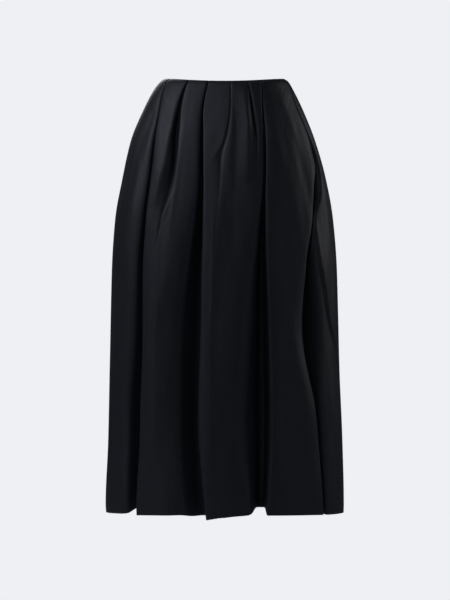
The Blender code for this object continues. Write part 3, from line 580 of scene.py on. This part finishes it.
BACK_LEFT_FOLDS = (
    Fold("back centre left",
         line=(-156.0, -155.0, -154.6, -154.3, -153.8, -153.2, -152.2, -150.5, -149.0, -149.0),
         gap=(5.0, 6.0, 7.3, 9.4, 12.2, 15.0, 20.9, 32.0, 40.0, 34.0),
         depth=(4.5, 11.0, 14.6, 19.0, 24.1, 28.7, 35.2, 44.0, 48.0, 42.0),
         tuck=(-5.0, -5.0, -5.0, -5.0, -5.2, -6.6, -8.5, -11.0, -12.0, -8.0),
         soft_a=(2.0, 3.0, 3.0, 3.4, 4.3, 4.9, 5.4, 6.0, 5.0, 4.0),
         soft_b=(3.0, 6.0, 9.4, 14.5, 20.3, 25.0, 29.6, 34.0, 34.0, 20.0),
         lift=(-3.5, -4.0, 6.0, 0.0, 0.0)),
    Fold("back left",
         line=(-131.0, -129.5, -128.4, -127.4, -126.7, -126.1, -125.6, -125.0, -125.0, -126.0),
         gap=(5.0, 7.0, 9.1, 11.8, 13.4, 14.0, 14.0, 14.0, 14.0, 12.0),
         depth=(4.5, 10.0, 13.8, 16.8, 18.7, 19.9, 19.1, 15.0, 9.0, 5.0),
         tuck=(-5.0, -4.0, -4.0, -3.6, -2.7, -2.2, -1.2, 0.0, 0.0, 0.0),
         soft_a=(2.0, 3.0, 3.7, 4.5, 5.5, 6.6, 8.7, 12.0, 14.0, 14.0),
         soft_b=(3.0, 5.0, 7.1, 9.5, 12.3, 15.4, 17.9, 20.0, 20.0, 16.0),
         lift=(0.0, 0.0, 2.0, 0.0, 0.0)),
    Fold("back side left",
         line=(-105.0, -105.0, -105.3, -105.8, -105.9, -105.2, -104.6, -104.0, -103.0, -104.0),
         gap=(5.0, 7.0, 7.7, 9.0, 10.6, 11.7, 13.3, 16.0, 20.0, 18.0),
         depth=(4.5, 9.0, 12.0, 14.5, 17.5, 21.1, 25.0, 30.0, 34.0, 30.0),
         tuck=(-3.5, -4.0, -4.0, -4.0, -4.0, -4.0, -4.4, -6.0, -8.0, -5.0),
         soft_a=(2.0, 3.0, 3.7, 4.5, 5.3, 5.8, 6.8, 8.0, 8.0, 6.0),
         soft_b=(3.0, 5.0, 7.1, 10.1, 13.2, 15.5, 17.8, 20.0, 20.0, 10.0),
         lift=(0.0, 0.0, 5.0, 1.5, 0.0)),
)
BACK_LEFT_LANDS = (2, 1, 1, 1)

BACK_RIGHT_CREASES = (
    Crease("ridge beside the right pleat", (0.030, 0.100, 0.170, 0.260, 0.360),
           (134.0, 134.6, 136.0, 139.0, 140.0), 2.2, 4.5, 6.0),
    Crease("slanting ridge of the right pleat", (0.170, 0.230, 0.300, 0.380),
           (125.0, 126.4, 129.4, 130.6), 1.7, 5.0, 4.0),
    Crease("trough below the right pleat", (0.150, 0.200, 0.260, 0.320),
           (132.0, 132.8, 135.4, 136.4), -2.2, 4.0, 5.0),
    Crease("line beside the centre pleat", (0.000, 0.050, 0.110),
           (151.8, 151.2, 150.4), -0.7, 3.0, 1.6),
    Crease("pressed ridge of the centre back", (0.280, 0.420, 0.600, 0.760, 0.908),
           (163.5, 164.0, 163.0, 162.6, 162.0), 1.5, 3.0, 12.0),
    Crease("drag towards the right side", (0.200, 0.240, 0.300),
           (100.0, 98.0, 97.0), -1.3, 5.0, 5.0),
    Crease("swell of the side lobe", (0.100, 0.240, 0.400),
           (119.0, 119.5, 120.0), 1.6, 14.0, 10.0),
)
BACK_LEFT_CREASES = (
    Crease("ridge beside the left pleat", (0.040, 0.110, 0.190, 0.290, 0.400),
           (-135.5, -136.0, -138.0, -139.6, -140.0), 2.0, 6.0, 4.5),
    Crease("slanting ridge of the left pleat", (0.150, 0.230, 0.330, 0.420),
           (-122.0, -121.4, -118.0, -116.6), 1.8, 4.5, 6.0),
    Crease("trough below the left pleat", (0.400, 0.520, 0.680),
           (-132.0, -134.0, -136.0), -1.6, 7.0, 7.0),
    Crease("pressed ridge of the centre left panel", (0.220, 0.340, 0.520, 0.700, 0.908),
           (-163.0, -163.6, -162.0, -161.0, -160.6), 1.4, 12.0, 3.0),
    Crease("tuck beside the side seam", (0.010, 0.030, 0.060),
           (-97.0, -97.6, -98.6), -0.8, 2.0, 2.0),
    Crease("drag at the left hip", (0.180, 0.215, 0.270),
           (-99.0, -96.0, -94.0), -1.3, 5.0, 5.0),
)
sew_panel("skirt_back_right", BACK_RIGHT_FOLDS, BACK_RIGHT_CREASES, SIDE_SEAM, BACK_SEAM,
          BACK_RIGHT_LANDS)
sew_panel("skirt_back_left", BACK_LEFT_FOLDS, BACK_LEFT_CREASES, -BACK_SEAM, -SIDE_SEAM,
          BACK_LEFT_LANDS)

# Zip
# A concealed zip sewn inside the centre back: two woven tapes with a coil of nylon teeth along each inner
# edge, and a black enamelled slider closed at the top, whose bail holds a hinged pull outside the seam.
# The middle of a tape's wall lies at its depth inside the outline. Tops and feet are drops.
TAPE_WIDTH = 11.0 * MM
TAPE_WALL = 0.7 * MM
TAPE_DEPTH = 1.8 * MM
TAPE_TOP = 0.006
TAPE_FOOT = 0.209
TAPE_ROWS = 70
TAPE_COLUMNS = 9
TAPE_DARK = (0.0085, 0.0088, 0.0100)
TAPE_LIGHT = (0.0160, 0.0165, 0.0185)
TAPE_ROUGHNESS = 0.82
TAPE_SPECULAR = 0.2
TAPE_WARP = 2600.0

# Height of one radian of the tape's ribs, the radians that a wave texture runs through in a unit, and how
# uneven and how high the ribs are
TAPE_RIB = 0.9 * MM
WAVE_RATE = 20.0
RIB_DISTORTION = 0.4
RIB_HEIGHT = 0.12 * MM

# The coil's helix: its pitch, its radius to the middle of the wire, the wire's radius, how far its middle
# lies from the seam's edge, its steps in a turn, and the sides of its wire
COIL_TOP = 0.012
COIL_FOOT = 0.207
COIL_PITCH = 1.5 * MM
COIL_RADIUS = 0.75 * MM
COIL_WIRE = 0.27 * MM
COIL_SHIFT = 0.60 * MM
COIL_STEPS = 12
COIL_SIDES = 6

# Enamel and nylon, whose relief is faint, and the slider's and pull's edges. Points closer than the merge
# distance are one, faces within the flat angle are one, and edges past the sharp angle are rounded.
ENAMEL_DARK = (0.0080, 0.0080, 0.0090)
ENAMEL_LIGHT = (0.0150, 0.0150, 0.0165)
MOTTLE_DETAIL = 4.0
MOTTLE_HEIGHT = 0.01 * MM
SLIDER_BEVEL = 0.14 * MM
PULL_BEVEL = 0.20 * MM
MERGE_DISTANCE = 0.001 * MM
FLAT_ANGLE = math.radians(1.0)
SHARP_ANGLE = math.radians(40.0)


def tape_material():
    """Matte woven polyester: ribs across the tape and a fine warp along it, on the tape's own map."""
    material = bpy.data.materials.new("black zip tape")
    material.use_nodes = True
    nodes = material.node_tree.nodes
    links = material.node_tree.links
    shader = nodes["Principled BSDF"]
    shader.inputs["Roughness"].default_value = TAPE_ROUGHNESS
    shader.inputs["Specular IOR Level"].default_value = TAPE_SPECULAR
    tape_map = nodes.new("ShaderNodeUVMap")
    tape_map.uv_map = "tape"
    ribs = nodes.new("ShaderNodeTexWave")
    ribs.bands_direction = "Y"
    ribs.inputs["Scale"].default_value = 1.0 / (TAPE_RIB * WAVE_RATE)
    ribs.inputs["Distortion"].default_value = RIB_DISTORTION
    links.new(tape_map.outputs["UV"], ribs.inputs["Vector"])
    warp = nodes.new("ShaderNodeTexNoise")
    warp.inputs["Scale"].default_value = TAPE_WARP
    links.new(tape_map.outputs["UV"], warp.inputs["Vector"])
    blend = nodes.new("ShaderNodeMix")
    blend.data_type = "RGBA"
    blend.inputs["A"].default_value = (*TAPE_DARK, 1.0)
    blend.inputs["B"].default_value = (*TAPE_LIGHT, 1.0)
    links.new(warp.outputs["Fac"], blend.inputs["Factor"])
    links.new(blend.outputs["Result"], shader.inputs["Base Color"])
    bump = nodes.new("ShaderNodeBump")
    bump.inputs["Distance"].default_value = RIB_HEIGHT
    links.new(ribs.outputs["Fac"], bump.inputs["Height"])
    links.new(bump.outputs["Normal"], shader.inputs["Normal"])
    return material


def mottled_material(name, dark, light, low, high, scale):
    """A hard black finish whose colour and roughness wander a little with noise on Object coordinates."""
    material = bpy.data.materials.new(name)
    material.use_nodes = True
    nodes = material.node_tree.nodes
    links = material.node_tree.links
    shader = nodes["Principled BSDF"]
    place = nodes.new("ShaderNodeTexCoord")
    cloud = nodes.new("ShaderNodeTexNoise")
    cloud.inputs["Scale"].default_value = scale
    cloud.inputs["Detail"].default_value = MOTTLE_DETAIL
    links.new(place.outputs["Object"], cloud.inputs["Vector"])
    blend = nodes.new("ShaderNodeMix")
    blend.data_type = "RGBA"
    blend.inputs["A"].default_value = (*dark, 1.0)
    blend.inputs["B"].default_value = (*light, 1.0)
    links.new(cloud.outputs["Fac"], blend.inputs["Factor"])
    links.new(blend.outputs["Result"], shader.inputs["Base Color"])
    gloss = nodes.new("ShaderNodeMapRange")
    gloss.inputs["To Min"].default_value = low
    gloss.inputs["To Max"].default_value = high
    links.new(cloud.outputs["Fac"], gloss.inputs["Value"])
    links.new(gloss.outputs["Result"], shader.inputs["Roughness"])
    bump = nodes.new("ShaderNodeBump")
    bump.inputs["Distance"].default_value = MOTTLE_HEIGHT
    links.new(cloud.outputs["Fac"], bump.inputs["Height"])
    links.new(bump.outputs["Normal"], shader.inputs["Normal"])
    return material


def zip_tape(name, side):
    """A strip inside a back panel, level across from the seam's edge to the tape's width. Side is +1
    towards +X and -1 towards -X."""
    drop = np.linspace(TAPE_TOP, TAPE_FOOT, TAPE_ROWS)
    near = half_seam(BACK_SEAM, drop)
    width = TAPE_WIDTH / arc_rate(math.pi + 0.0 * drop, drop)
    share = np.linspace(0.0, 1.0, TAPE_COLUMNS)
    from_seam = near[:, None] + width[:, None] * share
    bearing = (math.pi - from_seam)[:, ::-1] if side > 0 else from_seam - math.pi
    down = drop[:, None] + 0.0 * bearing
    place = np.stack([(share * TAPE_WIDTH)[None, :] + 0.0 * down, down], axis=-1)
    grid = cloth_point(bearing, TAPE_DEPTH, 0.0, down)
    return closed_wall(name, grid, TAPE_WALL / 2, TAPE_WALL / 2, place, "tape")


def zip_coil(name, side):
    """A round wire carried along a helix beside the seam: its centre line goes down the cloth, each turn
    goes once round it, and the two sides are half a turn apart."""
    turns = (COIL_FOOT - COIL_TOP) / COIL_PITCH
    angle = np.linspace(0.0, 2.0 * math.pi * turns, int(turns * COIL_STEPS) + 1)
    drop = COIL_TOP + COIL_PITCH * angle / (2.0 * math.pi)
    rate = arc_rate(math.pi + 0.0 * drop, drop)
    beside = half_seam(BACK_SEAM, drop) * rate + COIL_SHIFT
    bearing = math.pi - side * beside / rate
    start = 0.0 if side > 0 else math.pi
    across = COIL_RADIUS * np.cos(angle + start)
    inward = COIL_RADIUS * np.sin(angle + start)
    centre = TAPE_DEPTH + TAPE_WALL / 2 + COIL_RADIUS
    level = 0.0 * across
    path = cloth_point(bearing, centre + inward, 0.0, drop) + np.stack([across, level, level], axis=-1)
    core = cloth_point(bearing, centre, 0.0, drop)
    radial = path - core
    radial /= np.linalg.norm(radial, axis=1, keepdims=True)
    tangent = np.gradient(path, axis=0)
    tangent /= np.linalg.norm(tangent, axis=1, keepdims=True)
    beside_wire = np.cross(tangent, radial)
    beside_wire /= np.linalg.norm(beside_wire, axis=1, keepdims=True)
    round_wire = np.linspace(0.0, 2.0 * math.pi, COIL_SIDES + 1)[:-1, None]
    points = path[:, None] + COIL_WIRE * (np.cos(round_wire) * radial[:, None]
                                          + np.sin(round_wire) * beside_wire[:, None])
    index = np.arange(len(angle) * COIL_SIDES).reshape(-1, COIL_SIDES)
    following = np.roll(index, -1, axis=1)
    sides = np.stack([index[:-1], following[:-1], following[1:], index[1:]], axis=-1)
    faces = sides.reshape(-1, 4).tolist() + [index[0, ::-1].tolist(), index[-1].tolist()]
    mesh = bpy.data.meshes.new(name)
    mesh.from_pydata(points.reshape(-1, 3).tolist(), [], faces)
    shape = bmesh.new()
    shape.from_mesh(mesh)
    bmesh.ops.recalc_face_normals(shape, faces=shape.faces)
    shape.to_mesh(mesh)
    shape.free()
    mesh.shade_smooth()
    return linked(name, mesh)


def eased_copy(node, name, width, material):
    """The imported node's shape with doubled points merged, and its sharp edges rounded by a live bevel."""
    shape = bmesh.new()
    shape.from_mesh(bpy.data.objects[node].data)
    bmesh.ops.remove_doubles(shape, verts=shape.verts, dist=MERGE_DISTANCE)
    bmesh.ops.dissolve_limit(shape, angle_limit=FLAT_ANGLE, verts=shape.verts, edges=shape.edges)
    mesh = bpy.data.meshes.new(name)
    shape.to_mesh(mesh)
    shape.free()
    mesh.shade_smooth()
    mesh.materials.append(material)
    made = linked(name, mesh)
    bevel = made.modifiers.new("eased edges", "BEVEL")
    bevel.width = width
    bevel.segments = 2
    bevel.limit_method = "ANGLE"
    bevel.angle_limit = SHARP_ANGLE
    bevel.harden_normals = True
    return made


tape_cloth = tape_material()
nylon = mottled_material("black nylon coil", TAPE_DARK, TAPE_LIGHT, 0.35, 0.45, 900.0)
enamel = mottled_material("black enamel", ENAMEL_DARK, ENAMEL_LIGHT, 0.24, 0.36, 500.0)
for side, label, panel in ((1, "right", "skirt_back_right_cloth"), (-1, "left", "skirt_back_left_cloth")):
    tape = zip_tape("zip_tape_" + label + "_woven", side)
    tape.data.materials.append(tape_cloth)
    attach(tape, "skirt")
    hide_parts("zip_tape_" + label)
    coil = zip_coil("zip_coil_" + label, side)
    coil.data.materials.append(nylon)
    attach(coil, "skirt")

slider = eased_copy("zip_slider", "zip_slider_eased", SLIDER_BEVEL, enamel)
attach(slider, "skirt")
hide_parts("zip_slider")
pull = eased_copy("zip_pull", "zip_pull_eased", PULL_BEVEL, enamel)
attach(pull, "zip_pull")
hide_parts("zip_pull")

# Studio
# A pale floor below the hem, a pale surround, and soft lights: a key from the upper left, a weaker one in
# front, a low one from the right, a rim light behind the right side, and one that lights the back alone.
FLOOR_DROP = 1.25
FLOOR_RADIUS = 1.1
FLOOR_SIDES = 96
FLOOR_ROUGHNESS = 0.9
BACKGROUND = (0.855, 0.871, 0.905)
SURROUND_STRENGTH = 0.03
VIEW_DISTANCE = 6.0
VIEW_HEIGHT = 1.26
VIEW_AIM = Vector((0.0008, 0.0, -0.463))
SENSOR = 36.0

floor_mesh = bpy.data.meshes.new("floor")
turn = np.linspace(0.0, 2.0 * np.pi, FLOOR_SIDES + 1)[:-1]
rim = np.stack([FLOOR_RADIUS * np.cos(turn), FLOOR_RADIUS * np.sin(turn), 0.0 * turn - FLOOR_DROP],
               axis=1)
floor_mesh.from_pydata(rim.tolist(), [], [list(range(len(rim)))])
floor_paint = bpy.data.materials.new("pale floor")
floor_paint.use_nodes = True
shader = floor_paint.node_tree.nodes["Principled BSDF"]
shader.inputs["Base Color"].default_value = (*BACKGROUND, 1.0)
shader.inputs["Roughness"].default_value = FLOOR_ROUGHNESS
floor_mesh.materials.append(floor_paint)
floor = linked("floor", floor_mesh)

# The surround shows its full colour, and lights the skirt with only a little of it
surround = bpy.data.worlds.new("surround")
bpy.context.scene.world = surround
surround.use_nodes = True
nodes = surround.node_tree.nodes
links = surround.node_tree.links
seen = nodes["Background"]
seen.inputs["Color"].default_value = (*BACKGROUND, 1.0)
lit = nodes.new("ShaderNodeBackground")
lit.inputs["Color"].default_value = (*BACKGROUND, 1.0)
lit.inputs["Strength"].default_value = SURROUND_STRENGTH
path = nodes.new("ShaderNodeLightPath")
choice = nodes.new("ShaderNodeMixShader")
links.new(path.outputs["Is Camera Ray"], choice.inputs["Fac"])
links.new(lit.outputs["Background"], choice.inputs[1])
links.new(seen.outputs["Background"], choice.inputs[2])
links.new(choice.outputs["Shader"], nodes["World Output"].inputs["Surface"])

# Each light: name, place, aim, width and height, power in watts, colour
Light = namedtuple("Light", "name place aim width height power colour")
LIGHTS = (
    Light("key", (-2.75, -0.97, 1.72), (0.0, 0.0, -0.35), 1.8, 1.8, 67.0, (0.97, 0.985, 1.0)),
    Light("front", (-0.61, -2.85, 2.04), (0.0, 0.0, -0.40), 1.8, 1.4, 25.0, (0.98, 0.99, 1.0)),
    Light("right side", (2.51, -1.96, -0.07), (0.0, 0.0, -0.45), 1.2, 1.8, 6.2, (1.0, 0.985, 0.985)),
    Light("rim", (2.50, 0.90, 0.58), (0.1, 0.0, -0.40), 0.8, 1.6, 15.0, (1.0, 0.98, 0.985)),
    Light("back", (-0.9, 3.4, 1.6), (0.0, 0.0, -0.40), 1.8, 1.8, 40.0, (0.98, 0.99, 1.0)),
)
for light in LIGHTS:
    lamp = bpy.data.lights.new(light.name, "AREA")
    lamp.shape = "RECTANGLE"
    lamp.size = light.width
    lamp.size_y = light.height
    lamp.energy = light.power
    lamp.color = light.colour
    placed = linked(light.name, lamp)
    placed.location = light.place
    placed.rotation_euler = (Vector(light.aim) - Vector(light.place)).to_track_quat("-Z", "Y").to_euler()

camera = linked("camera", bpy.data.cameras.new("camera"))
camera.location = VIEW_AIM + Vector((0.0, -VIEW_DISTANCE, 0.0))
camera.rotation_euler = (math.radians(90.0), 0.0, 0.0)
camera.data.sensor_width = SENSOR
camera.data.sensor_fit = "VERTICAL"
camera.data.sensor_height = SENSOR
camera.data.lens = SENSOR * VIEW_DISTANCE / VIEW_HEIGHT
bpy.context.scene.camera = camera
bpy.context.scene.view_settings.view_transform = "Standard"
